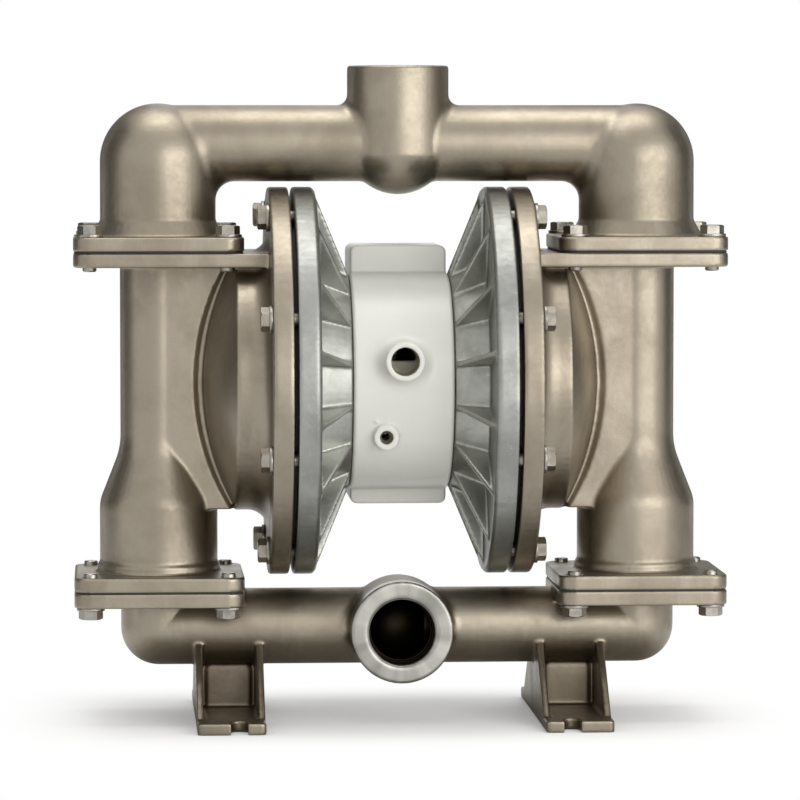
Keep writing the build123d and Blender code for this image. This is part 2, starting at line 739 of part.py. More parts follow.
    # Tapped holes for the air chamber screws
    for side in (-1, 1):
        with BuildSketch(Plane.YZ.offset(side * body_half)):
            with Locations((0, axis_z)):
                with PolarLocations(screw_circle_r, screw_count):
                    Circle(screw_r + tapped_gap)
        extrude(amount=-side * (screw_depth + screw_tip_gap), mode=Mode.SUBTRACT)

# Lower end of the upper tee, with a crease where it turns round
with BuildPart() as tee_bottom:
    with BuildSketch(Plane.XY.offset(discharge_z)):
        Circle(tee_r)
    extrude(amount=-tee_bottom_drop)
    with BuildPart(mode=Mode.PRIVATE) as tee_ball:
        with Locations((0, 0, discharge_z - tee_bottom_drop + sqrt(tee_bottom_r ** 2 - tee_r ** 2))):
            Sphere(tee_bottom_r)
        with Locations((0, 0, discharge_z - tee_bottom_drop)):
            Cylinder(2 * tee_r, 2 * tee_r, align=(Align.CENTER, Align.CENTER, Align.MIN), mode=Mode.SUBTRACT)
    add(tee_ball.part)

# Discharge manifold: upper pipe, tee with its port, and two elbows
with BuildPart() as discharge_manifold:
    with BuildSketch(Plane.YZ.offset(-column_x)):
        with Locations((0, discharge_z)):
            Circle(pipe_r)
    extrude(amount=2 * column_x)
    with BuildSketch(Plane.XY.offset(discharge_z)):
        Circle(tee_r)
    extrude(amount=discharge_port_z - discharge_z)
    add(tee_bottom.part)
    fillet([e for e in discharge_manifold.edges().filter_by(GeomType.BSPLINE)
            if overlap < abs(e.center().X) < column_x / 2], tee_blend_r)
    for side in (-1, 1):
        with BuildSketch(Plane.XY.offset(discharge_seat_z)):
            with Locations((side * column_x, 0)):
                Circle(elbow_r)
        extrude(amount=elbow_crown_z - discharge_seat_z)
        with Locations((side * column_x, 0, elbow_crown_z)):
            Sphere(elbow_r)
    elbow_near_x = column_x - elbow_r - overlap
    fillet([e for e in discharge_manifold.edges().filter_by(GeomType.BSPLINE)
            if elbow_near_x < abs(e.center().X) < column_x], elbow_blend_r)
    for side in (-1, 1):
        elbow_axis = Axis((side * column_x, 0, 0), (0, 0, 1))
        elbow_plane = Plane(origin=(side * column_x, 0, 0), x_dir=(1, 0, 0), z_dir=(0, -1, 0))
        with BuildSketch(elbow_plane):
            Polygon(
                (0, discharge_seat_z + overlap), (elbow_collar_r, discharge_seat_z + overlap),
                (elbow_collar_r, upper_plate_top_z + rim_edge_r),
                (elbow_r, upper_plate_top_z + elbow_collar_height),
                (0, upper_plate_top_z + elbow_collar_height), align=None,
            )
        revolve(axis=elbow_axis)
        with BuildSketch(Plane.XY.offset(discharge_seat_z)):
            with Locations((side * column_x, 0)):
                RectangleRounded(flange_side, flange_side, flange_corner_r)
        extrude(amount=flange_thickness)
        # Cage of the upper ball, pocket of its seat and bolt holes
        with BuildSketch(Plane.XY.offset(discharge_seat_z)):
            with Locations((side * column_x, 0)):
                Circle(cage_r)
        extrude(amount=elbow_crown_z - discharge_seat_z, mode=Mode.SUBTRACT)
        with Locations((side * column_x, 0, elbow_crown_z)):
            Sphere(elbow_r - elbow_wall, mode=Mode.SUBTRACT)
        with BuildSketch(Plane.XY.offset(discharge_seat_z)):
            with Locations((side * column_x, 0)):
                Circle(seat_r + seat_gap)
        extrude(amount=seat_thickness, mode=Mode.SUBTRACT)
        with BuildSketch(Plane.XY.offset(discharge_seat_z)):
            with Locations(*[(side * column_x + x, y) for x, y in corners(flange_bolt_spacing)]):
                Circle(bolt_hole_r)
        extrude(amount=flange_thickness, mode=Mode.SUBTRACT)
    # Bores of the pipe and the port
    with BuildSketch(Plane.YZ.offset(-column_x)):
        with Locations((0, discharge_z)):
            Circle(pipe_bore_r)
    extrude(amount=2 * column_x, mode=Mode.SUBTRACT)
    with Locations((0, 0, discharge_z)):
        Sphere(tee_hollow_r, mode=Mode.SUBTRACT)
    with BuildSketch(Plane.XY.offset(discharge_z)):
        Circle(pipe_bore_r)
    extrude(amount=discharge_port_z - discharge_z, mode=Mode.SUBTRACT)
    with BuildSketch(Plane.XY.offset(discharge_port_z)):
        Circle(port_thread_r)
    extrude(amount=-port_thread_depth, mode=Mode.SUBTRACT)
    port_rim = discharge_manifold.faces().sort_by(Axis.Z)[-1].edges()
    chamfer(port_rim.sort_by(SortBy.LENGTH)[0], port_chamfer)
    chamfer(discharge_manifold.faces().sort_by(Axis.Z)[-1].edges().sort_by(SortBy.LENGTH)[-1], rim_edge_r)
    for side in (-1, 1):
        with Locations((side * column_x, 0, 0)):
            add(guide_ribs(discharge_seat_z, elbow_r - elbow_wall / 2))

# Suction manifold: lower pipe, corner bends, front port and the two feet
with BuildPart() as suction_manifold:
    with BuildSketch(Plane.YZ.offset(-column_x)):
        with Locations((0, suction_z)):
            Circle(pipe_r)
    extrude(amount=2 * column_x)
    with BuildSketch(Plane.XZ):
        with Locations((0, suction_z)):
            Circle(tee_r)
    extrude(amount=-suction_port_y)
    with Locations((0, 0, suction_z)):
        Sphere(tee_r)
    fillet([e for e in suction_manifold.edges() if overlap < abs(e.center().X) < column_x / 2
            and e.geom_type != GeomType.LINE and e.center().Y > suction_port_y + overlap], tee_blend_r)
    for side in (-1, 1):
        with Locations((side * column_x, 0, suction_z)):
            Sphere(pipe_r)
        with BuildSketch(Plane.XY.offset(suction_z)):
            with Locations((side * column_x, 0)):
                Circle(pipe_r)
        extrude(amount=lower_plate_bottom_z - suction_z + overlap)
        with BuildSketch(Plane.XY.offset(lower_plate_bottom_z)):
            with Locations((side * column_x, 0)):
                RectangleRounded(flange_side, flange_side, flange_corner_r)
        extrude(amount=flange_thickness)
        # Foot: slotted base, two slanted plates and a web with a pad
        with BuildSketch(Plane.XY):
            with Locations((side * foot_x, 0)):
                RectangleRounded(foot_width, foot_length, foot_corner_r)
            with Locations(
                (side * (foot_x - foot_slot_inset), foot_length / 2),
                (side * (foot_x - foot_slot_inset), -foot_length / 2),
            ):
                SlotOverall(2 * foot_slot_depth, foot_slot_width, rotation=90, mode=Mode.SUBTRACT)
        extrude(amount=foot_base_thickness)
        join_y = (pipe_r - overlap) * cos(radians(foot_join_angle))
        join_z = suction_z - (pipe_r - overlap) * sin(radians(foot_join_angle))
        plate_shift = (foot_width - foot_plate_thickness) / 2
        for x in (side * foot_x - plate_shift, side * foot_x + plate_shift):
            with BuildSketch(Plane.YZ.offset(x)):
                Polygon(
                    (-foot_plate_bottom_y, foot_base_thickness - overlap), (-foot_plate_bottom_y, foot_base_thickness),
                    (-join_y, join_z), (join_y, join_z), (foot_plate_bottom_y, foot_base_thickness),
                    (foot_plate_bottom_y, foot_base_thickness - overlap), align=None,
                )
            extrude(amount=foot_plate_thickness / 2, both=True)
        with BuildSketch(Plane.XY.offset(foot_base_thickness - overlap)):
            with Locations((side * foot_x, 0)):
                Rectangle(foot_width - foot_plate_thickness, foot_web_thickness)
        extrude(amount=suction_z - pipe_bore_r - foot_base_thickness)
        with BuildSketch(Plane.XZ):
            with Locations((side * foot_x, (foot_base_thickness + suction_z - pipe_r) / 2)):
                RectangleRounded(foot_pad_width, foot_pad_height, foot_pad_proud)
        extrude(amount=foot_web_thickness / 2 + foot_pad_proud, both=True)
    # Bores
    with BuildSketch(Plane.YZ.offset(-column_x)):
        with Locations((0, suction_z)):
            Circle(pipe_bore_r)
    extrude(amount=2 * column_x, mode=Mode.SUBTRACT)
    with Locations((0, 0, suction_z)):
        Sphere(tee_hollow_r, mode=Mode.SUBTRACT)
    for side in (-1, 1):
        with Locations((side * column_x, 0, suction_z)):
            Sphere(pipe_bore_r, mode=Mode.SUBTRACT)
        with BuildSketch(Plane.XY.offset(suction_z)):
            with Locations((side * column_x, 0)):
                Circle(pipe_bore_r)
        extrude(amount=suction_joint_z - suction_z, mode=Mode.SUBTRACT)
        with BuildSketch(Plane.XY.offset(lower_plate_bottom_z)):
            with Locations(*[(side * column_x + x, y) for x, y in corners(flange_bolt_spacing)]):
                Circle(bolt_hole_r)
        extrude(amount=flange_thickness, mode=Mode.SUBTRACT)
    with BuildSketch(Plane.XZ):
        with Locations((0, suction_z)):
            Circle(pipe_bore_r)
    extrude(amount=-suction_port_y, mode=Mode.SUBTRACT)
    with BuildSketch(Plane.XZ.offset(-suction_port_y)):
        with Locations((0, suction_z)):
            Circle(port_thread_r)
    extrude(amount=-port_thread_depth, mode=Mode.SUBTRACT)
    port_face = suction_manifold.faces().filter_by(Axis.Y).filter_by_position(
        Axis.Y, suction_port_y - overlap, suction_port_y + overlap
    )[0]
    chamfer(port_face.edges().sort_by(SortBy.LENGTH)[0], port_chamfer)

# Square gaskets of the four flange joints
with BuildPart() as discharge_gasket_right:
    with BuildSketch(Plane.XY.offset(discharge_joint_z - gasket_half)):
        with Locations((column_x, 0)):
            RectangleRounded(
                flange_side - 2 * gasket_inset, flange_side - 2 * gasket_inset, flange_corner_r - gasket_inset,
            )
            Circle(pipe_bore_r, mode=Mode.SUBTRACT)
        with Locations(*[(column_x + x, y) for x, y in corners(flange_bolt_spacing)]):
            Circle(bolt_hole_r, mode=Mode.SUBTRACT)
    extrude(amount=gasket_thickness)

with BuildPart() as suction_gasket_right:
    with Locations((0, 0, suction_joint_z - discharge_joint_z)):
        add(discharge_gasket_right.part)

# Ball seats: rings with a chamfered lip
with BuildPart() as suction_seat_right:
    with BuildSketch(column_plane):
        Polygon(
            (seat_bore_r, suction_seat_z), (seat_r, suction_seat_z),
            (seat_r, suction_seat_z + seat_thickness),
            (seat_bore_r + seat_chamfer, suction_seat_z + seat_thickness),
            (seat_bore_r, suction_seat_z + seat_thickness - seat_chamfer), align=None,
        )
    revolve(axis=column_axis)

with BuildPart() as discharge_seat_right:
    with Locations((0, 0, discharge_seat_z - suction_seat_z)):
        add(suction_seat_right.part)

# Valve balls, resting just above their seats
with BuildPart() as suction_ball_right:
    with Locations((column_x, 0, suction_seat_z + seat_thickness + ball_seat_rise)):
        Sphere(ball_r)

with BuildPart() as discharge_ball_right:
    with Locations((column_x, 0, discharge_seat_z + seat_thickness + ball_seat_rise)):
        Sphere(ball_r)

# Diaphragm: clamped at its edge, held between two plates in the middle
with BuildPart() as diaphragm_right:
    with BuildSketch(Plane.YZ.offset(air_rim_out_x)):
        with Locations((0, axis_z)):
            Circle(diaphragm_r)
            Circle(bolt_hole_r, mode=Mode.SUBTRACT)
    extrude(amount=diaphragm_thickness)

with BuildPart() as inner_plate_right:
    with BuildSketch(Plane.XZ):
        Polygon(
            (inner_plate_x, axis_z + bolt_hole_r), (inner_plate_x, axis_z + plate_r - 4 * plate_edge_r),
            (air_rim_out_x - plate_edge_r, axis_z + plate_r), (air_rim_out_x, axis_z + plate_r - plate_edge_r / 2),
            (air_rim_out_x, axis_z + bolt_hole_r), align=None,
        )
    revolve(axis=pump_axis)

with BuildPart() as outer_plate_right:
    with BuildSketch(Plane.XZ):
        Polygon(
            (fluid_rim_in_x, axis_z + bolt_hole_r), (fluid_rim_in_x, axis_z + plate_r - plate_edge_r),
            (fluid_rim_in_x + plate_edge_r, axis_z + plate_r), (outer_plate_x, axis_z + plate_r - plate_edge_r),
            (plate_bolt_x, axis_z + 2 * washer_r), (plate_bolt_x, axis_z + bolt_hole_r), align=None,
        )
    revolve(axis=pump_axis)

# Shaft with a tapped hole in each end
with BuildPart() as diaphragm_shaft:
    with BuildSketch(Plane.YZ.offset(-inner_plate_x)):
        with Locations((0, axis_z)):
            Circle(shaft_r)
    extrude(amount=2 * inner_plate_x)
    chamfer(diaphragm_shaft.edges().filter_by(GeomType.CIRCLE), rim_edge_r)
    tapped_depth = plate_bolt_length - (plate_bolt_x - inner_plate_x) + tapped_depth_spare
    for side in (-1, 1):
        with BuildSketch(Plane.YZ.offset(side * inner_plate_x)):
            with Locations((0, axis_z)):
                Circle(bolt_r + tapped_gap)
        extrude(amount=-side * tapped_depth, mode=Mode.SUBTRACT)

with BuildPart() as shaft_bush_right:
    with BuildSketch(Plane.YZ.offset(body_half - seal_length - bush_length)):
        with Locations((0, axis_z)):
            Circle(bush_r)
            Circle(shaft_r + shaft_running_gap, mode=Mode.SUBTRACT)
    extrude(amount=bush_length)

with BuildPart() as shaft_seal_right:
    with BuildSketch(Plane.YZ.offset(body_half - seal_length)):
        with Locations((0, axis_z)):
            Circle(seal_r)
            Circle(shaft_r + shaft_running_gap, mode=Mode.SUBTRACT)
    extrude(amount=seal_length)

plate_bolt_right = placed(
    hex_bolt(plate_bolt_length), [Plane(origin=(plate_bolt_x, 0, axis_z), x_dir=(0, 0, 1), z_dir=(1, 0, 0))],
)

# Main air valve: sleeve with ports, spool, plugs and circlips
with BuildPart() as valve_sleeve:
    with BuildSketch(Plane.XY.offset(sleeve_bottom_z)):
        with Locations((0, valve_y)):
            Circle(sleeve_r)
            Circle(sleeve_bore_r, mode=Mode.SUBTRACT)
    extrude(amount=sleeve_top_z - sleeve_bottom_z)
    with BuildSketch(Plane.YZ.offset(-sleeve_r)):
        with Locations((valve_y, axis_z + cross_hole_offset_z), (valve_y, axis_z - cross_hole_offset_z)):
            Circle(cross_hole_r)
    extrude(amount=2 * sleeve_r, mode=Mode.SUBTRACT)
    with BuildSketch(Plane.XZ.offset(-valve_y - sleeve_r)):
        with Locations((0, axis_z), (0, air_port_z + air_port_r / 2)):
            Circle(cross_hole_r)
    extrude(amount=2 * sleeve_r, mode=Mode.SUBTRACT)

with BuildPart() as valve_spool:
    spool_bottom_z = sleeve_bottom_z + spool_end_gap
    spool_length = sleeve_top_z - sleeve_bottom_z - spool_travel - 2 * spool_end_gap
    spool_mid_z = spool_bottom_z + spool_length / 2
    spool_top_z = spool_bottom_z + spool_length
    land_r = sleeve_bore_r - spool_gap
    with BuildSketch(Plane.XY.offset(spool_bottom_z)):
        with Locations((0, valve_y)):
            Circle(spool_waist_r)
    extrude(amount=spool_length)
    for land_z in (spool_bottom_z, spool_mid_z - spool_land / 2, spool_top_z - spool_land):
        with BuildSketch(Plane.XY.offset(land_z)):
            with Locations((0, valve_y)):
                Circle(land_r)
        extrude(amount=spool_land)

with BuildPart() as valve_plug_bottom:
    with BuildSketch(Plane.XY.offset(block_bottom_z + plug_recess)):
        with Locations((0, valve_y)):
            Circle(plug_lip_r - fit_gap)
    extrude(amount=sleeve_bottom_z - block_bottom_z - plug_recess)

with BuildPart() as valve_plug_top:
    with BuildSketch(Plane.XY.offset(block_top_z - plug_recess)):
        with Locations((0, valve_y)):
            Circle(plug_lip_r - fit_gap)
    extrude(amount=sleeve_top_z - block_top_z + plug_recess)

with BuildPart() as valve_circlip_top:
    with BuildSketch(Plane.XY.offset(block_top_z - plug_recess)):
        with Locations((0, valve_y)):
            Circle(plug_lip_r + circlip_width / 2 - fit_gap)
            Circle(plug_lip_r - circlip_width / 2, mode=Mode.SUBTRACT)
        with Locations((0, valve_y - plug_lip_r)):
            Rectangle(2 * circlip_width, 2 * circlip_width, mode=Mode.SUBTRACT)
    extrude(amount=circlip_thickness)

with BuildPart() as valve_circlip_bottom:
    with Locations((0, 0, block_bottom_z + 2 * plug_recess - block_top_z - circlip_thickness)):
        add(valve_circlip_top.part)

# Pilot spool and its bushes
with BuildPart() as pilot_spool:
    with BuildSketch(Plane.YZ.offset(-pilot_half)):
        with Locations((pilot_y, pilot_z)):
            Circle(pilot_r)
    extrude(amount=2 * pilot_half)
    chamfer(pilot_spool.edges().filter_by(GeomType.CIRCLE), pilot_chamfer)

with BuildPart() as pilot_bush_right:
    with BuildSketch(Plane.YZ.offset(body_half - pilot_bush_length)):
        with Locations((pilot_y, pilot_z)):
            Circle(pilot_bush_r)
            Circle(pilot_r + spool_gap, mode=Mode.SUBTRACT)
    extrude(amount=pilot_bush_length)

# Socket head screws that hold the air chamber to the centre body
with BuildPart() as socket_screw:
    Cylinder(screw_head_r, screw_head_height, align=(Align.CENTER, Align.CENTER, Align.MIN))
    with BuildSketch(Plane.XY.offset(screw_head_height)):
        RegularPolygon(screw_socket_r, 6, major_radius=False)
    extrude(amount=-screw_socket_depth, mode=Mode.SUBTRACT)
    screw_length = dish_floor_x - screw_counterbore_depth - body_half + screw_depth
    with BuildSketch():
        Circle(screw_r)
    extrude(amount=-screw_length)

air_chamber_screws_right = placed(
    socket_screw.part, screw_planes(dish_floor_x - screw_counterbore_depth),
)

# Exhaust silencer, screwed into the back of the centre body
with BuildPart() as exhaust_silencer:
    silencer_plane = Plane(origin=(0, exhaust_face_y, axis_z), x_dir=(1, 0, 0), z_dir=(0, 1, 0))
    with BuildSketch(silencer_plane):
        Circle(exhaust_port_r - fit_gap)
    extrude(amount=-air_port_depth / 2)
    with BuildSketch(silencer_plane):
        RegularPolygon(silencer_flats / 2, 6, major_radius=False)
    extrude(amount=silencer_hex_length)
    with BuildSketch(Plane.YZ):
        with BuildLine():
            rib_start = exhaust_face_y + silencer_hex_length
            rib_pitch = (silencer_length - silencer_hex_length) / silencer_rib_count
            points = [
                (rib_start - overlap, axis_z), (rib_start - overlap, axis_z + silencer_r - silencer_rib_depth),
            ]
            for i in range(silencer_rib_count):
                rib_y = rib_start + rib_pitch * i
                groove_end_y = rib_y + rib_pitch * silencer_groove_share
                points += [
                    (groove_end_y, axis_z + silencer_r - silencer_rib_depth),
                    (groove_end_y + rib_pitch * silencer_slope_share, axis_z + silencer_r),
                    (rib_y + rib_pitch * (1 - silencer_slope_share), axis_z + silencer_r),
                    (rib_y + rib_pitch, axis_z + silencer_r - silencer_rib_depth),
                ]
            Polyline(*points, (rib_start + rib_pitch * silencer_rib_count, axis_z), close=True)
        make_face()
    revolve(axis=Axis((0, 0, axis_z), (0, 1, 0)))

# Bolts and washers of the rims and the flanges
rim_stack = fluid_rim_out_x + spotface_height + washer_thickness - air_rim_out_x
chamber_bolts_right = placed(
    hex_bolt(rim_stack + rim_tap_depth - rim_bolt_end_gap),
    rim_planes(fluid_rim_out_x + spotface_height + washer_thickness, 1),
)
chamber_washers_right = placed(
    ring(washer_r, bolt_hole_r, washer_thickness), rim_planes(fluid_rim_out_x + spotface_height, 1),
)
flange_stack = washer_thickness + 2 * flange_thickness + gasket_thickness + bolt_end_proud
corner_points = [(column_x + x, y) for x, y in corners(flange_bolt_spacing)]
discharge_bolts_right = placed(
    hex_bolt(flange_stack),
    [Plane(origin=(x, y, upper_plate_top_z + washer_thickness)) for x, y in corner_points],
)
discharge_washers_right = placed(
    ring(washer_r, bolt_hole_r, washer_thickness),
    [Plane(origin=(x, y, upper_plate_top_z)) for x, y in corner_points],
)
suction_bolts_right = placed(
    hex_bolt(flange_stack),
    [Plane(origin=(x, y, lower_plate_bottom_z - washer_thickness), z_dir=(0, 0, -1)) for x, y in corner_points],
)
suction_washers_right = placed(
    ring(washer_r, bolt_hole_r, washer_thickness),
    [Plane(origin=(x, y, lower_plate_bottom_z - washer_thickness)) for x, y in corner_points],
)

# Pieces on the middle, and pieces that come as a right and a left one
middle_pieces = {
    "discharge_manifold": discharge_manifold.part,
    "suction_manifold": suction_manifold.part,
    "center_body": center_body.part,
    "diaphragm_shaft": diaphragm_shaft.part,
    "valve_sleeve": valve_sleeve.part,
    "valve_spool": valve_spool.part,
    "valve_plug_top": valve_plug_top.part,
    "valve_plug_bottom": valve_plug_bottom.part,
    "valve_circlip_top": valve_circlip_top.part,
    "valve_circlip_bottom": valve_circlip_bottom.part,
    "pilot_spool": pilot_spool.part,
    "exhaust_silencer": exhaust_silencer.part,
}
paired_pieces = {
    "outer_chamber": outer_chamber_right.part,
    "air_chamber": air_chamber_right.part,
    "body_gasket": body_gasket_right.part,
    "discharge_gasket": discharge_gasket_right.part,
    "suction_gasket": suction_gasket_right.part,
    "suction_seat": suction_seat_right.part,
    "discharge_seat": discharge_seat_right.part,
    "suction_ball": suction_ball_right.part,
    "discharge_ball": discharge_ball_right.part,
    "diaphragm": diaphragm_right.part,
    "inner_plate": inner_plate_right.part,
    "outer_plate": outer_plate_right.part,
    "plate_bolt": plate_bolt_right,
    "shaft_bush": shaft_bush_right.part,
    "shaft_seal": shaft_seal_right.part,
    "pilot_bush": pilot_bush_right.part,
    "air_chamber_screws": air_chamber_screws_right,
    "chamber_bolts": chamber_bolts_right,
    "chamber_washers": chamber_washers_right,
    "discharge_bolts": discharge_bolts_right,
    "discharge_washers": discharge_washers_right,
    "suction_bolts": suction_bolts_right,
    "suction_washers": suction_washers_right,
}

pieces = dict(middle_pieces)
for name, right_part in paired_pieces.items():
    pieces[f"{name}_right"] = right_part
    pieces[f"{name}_left"] = left_copy(right_part)

os.makedirs("parts", exist_ok=True)
for name, part in pieces.items():
    part.label = name
    export_step(part, f"parts/{name}.step")
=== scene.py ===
import math

import bmesh
import bpy
import numpy as np
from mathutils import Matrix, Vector


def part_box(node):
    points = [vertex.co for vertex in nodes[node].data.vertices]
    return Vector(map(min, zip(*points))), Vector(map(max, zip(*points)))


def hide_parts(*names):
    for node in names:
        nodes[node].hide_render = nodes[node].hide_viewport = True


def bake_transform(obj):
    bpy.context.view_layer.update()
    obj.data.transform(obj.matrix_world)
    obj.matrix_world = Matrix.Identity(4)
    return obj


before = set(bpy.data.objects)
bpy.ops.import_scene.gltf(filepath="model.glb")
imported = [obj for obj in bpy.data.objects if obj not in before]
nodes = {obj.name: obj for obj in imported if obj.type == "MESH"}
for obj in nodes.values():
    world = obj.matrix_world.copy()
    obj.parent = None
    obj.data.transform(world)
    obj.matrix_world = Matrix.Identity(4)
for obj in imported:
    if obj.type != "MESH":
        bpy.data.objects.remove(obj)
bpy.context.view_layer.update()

scene = bpy.context.scene

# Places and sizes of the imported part, in metres
DISCHARGE_PORT_Z = 0.5664
SUCTION_Z = 0.0796
SUCTION_PORT_Y = -0.066
DISCHARGE_Z = 0.4992
PORT_BORE = 0.02833             # radius of both ports' bores
PORT_RIM = 0.044                # radius of their turned rims
THREAD_DEPTH, THREAD_PITCH = 0.026, 0.00231
TURNED_LENGTH = 0.017           # turned outside of the front port
AIR_PORT, AIR_PORT_BORE, AIR_PORT_DEPTH = (0, -0.1085, 0.315), 0.01206, 0.024
PILOT_PORT, PILOT_BORE, PILOT_DEPTH = (-0.015, -0.0905, 0.2494), 0.00572, 0.014
BODY_BACK = 0.160               # how far behind a small port's face its bore is coloured, painted shade past its depth
PIPE_HOLLOW, TEE_HOLLOW, PIPE_REACH = 0.0290, 0.0390, 0.160     # radii of the painted shade within a pipe and a tee, and its length
RIM_BACK_X = 0.073              # back of an air chamber's rim
FOOT_EDGE_Y = 0.1246            # front and back edges of the feet

# Camera: the photograph's viewing angle
CAMERA_AZIMUTH, CAMERA_ELEVATION = math.radians(-3.6), math.radians(3.5)
CAMERA_DISTANCE = 4.1
AIM = Vector((0.002, 0.0, 0.276))
camera_data = bpy.data.cameras.new("camera")
camera_data.sensor_width = 36.0
camera_data.lens = 212.0
camera_data.clip_start, camera_data.clip_end = 0.1, 50.0
camera = bpy.data.objects.new("camera", camera_data)
camera.location = AIM + CAMERA_DISTANCE * Vector((
    math.sin(CAMERA_AZIMUTH) * math.cos(CAMERA_ELEVATION),
    -math.cos(CAMERA_AZIMUTH) * math.cos(CAMERA_ELEVATION),
    math.sin(CAMERA_ELEVATION),
))
camera.rotation_euler = (AIM - camera.location).to_track_quat("-Z", "Y").to_euler()
scene.collection.objects.link(camera)
scene.camera = camera


# Node helpers
class Graph:
    """Short calls for building one material's node tree."""

    def __init__(self, name):
        self.material = bpy.data.materials.new(name)
        self.material.use_nodes = True
        self.tree = self.material.node_tree
        self.tree.nodes.clear()
        self.output = self.tree.nodes.new("ShaderNodeOutputMaterial")
        self.coordinates = self.tree.nodes.new("ShaderNodeTexCoord").outputs["Object"]

    def link(self, value, socket):
        if isinstance(value, bpy.types.NodeSocket):
            self.tree.links.new(value, socket)
        else:
            socket.default_value = value

    def math(self, operation, a, b=0.0):
        node = self.tree.nodes.new("ShaderNodeMath")
        node.operation = operation
        self.link(a, node.inputs[0])
        self.link(b, node.inputs[1])
        return node.outputs[0]

    def vector(self, operation, a, b=(0.0, 0.0, 0.0), scale=None):
        node = self.tree.nodes.new("ShaderNodeVectorMath")
        node.operation = operation
        self.link(a, node.inputs[0])
        self.link(b, node.inputs[1])
        if scale is not None:
            self.link(scale, node.inputs["Scale"])
        return node.outputs["Value" if operation in ("LENGTH", "DOT_PRODUCT") else "Vector"]

    def split(self, vector):
        node = self.tree.nodes.new("ShaderNodeSeparateXYZ")
        self.link(vector, node.inputs[0])
        return node.outputs

    def noise(self, scale, detail=3.0, roughness=0.55, vector=None, distortion=0.0):
        node = self.tree.nodes.new("ShaderNodeTexNoise")
        self.link(vector or self.coordinates, node.inputs["Vector"])
        node.inputs["Scale"].default_value = scale
        node.inputs["Detail"].default_value = detail
        node.inputs["Roughness"].default_value = roughness
        node.inputs["Distortion"].default_value = distortion
        return node.outputs["Fac"]

    def ramp(self, value, low, high, out_low=0.0, out_high=1.0):
        node = self.tree.nodes.new("ShaderNodeMapRange")
        node.interpolation_type = "SMOOTHSTEP"
        keys = ("Value", "From Min", "From Max", "To Min", "To Max")
        for number, key in zip((value, low, high, out_low, out_high), keys):
            self.link(number, node.inputs[key])
        return node.outputs["Result"]

    def mix(self, factor, a, b, mode="MIX"):
        node = self.tree.nodes.new("ShaderNodeMix")
        node.data_type, node.blend_type = "RGBA", mode
        node.clamp_factor = True
        self.link(factor, node.inputs["Factor"])
        self.link(a, node.inputs["A"])
        self.link(b, node.inputs["B"])
        return next(o for o in node.outputs if o.type == "RGBA")

    def bump(self, height, distance):
        node = self.tree.nodes.new("ShaderNodeBump")
        node.inputs["Distance"].default_value = distance
        node.inputs["Strength"].default_value = 1.0
        self.link(height, node.inputs["Height"])
        return node.outputs["Normal"]

    def pointiness(self):
        return self.tree.nodes.new("ShaderNodeNewGeometry").outputs["Pointiness"]

    def surface(self, **values):
        shader = self.tree.nodes.new("ShaderNodeBsdfPrincipled")
        for key, value in values.items():
            self.link(value, shader.inputs[key.replace("_", " ")])
        self.tree.links.new(shader.outputs[0], self.output.inputs[0])
        return self.material


def rgb(r, g, b):
    return (r, g, b, 1.0)


# Painted shade: CREVICE_SHADE darkens the creases of castings towards near black; CORNER_DUST_AND_SHADE mixes
# concave corners of paint, plastic and rubber towards a dark dusty tone, dust and painted shade.
CREVICE_SHADE, CORNER_DUST_AND_SHADE = rgb(0.03, 0.025, 0.02), rgb(0.10, 0.09, 0.07)
# Painted shade: LOW_SHADE_TINT darkens the castings low in the feet, and BORE_SHADE paints bores and hollows near
# black.
LOW_SHADE_TINT, BORE_SHADE = rgb(0.66, 0.64, 0.61), rgb(0.026, 0.020, 0.013)
# Painted shade: BORE_END_SHADE paints a small port's bore near black past its depth.
BARE_BORE, BORE_END_SHADE = rgb(0.38, 0.36, 0.25), rgb(0.012, 0.012, 0.009)
TURNED_ROUGH, CAST_GRAIN, TURNED_GRAIN = 0.34, 0.00012, 0.00004


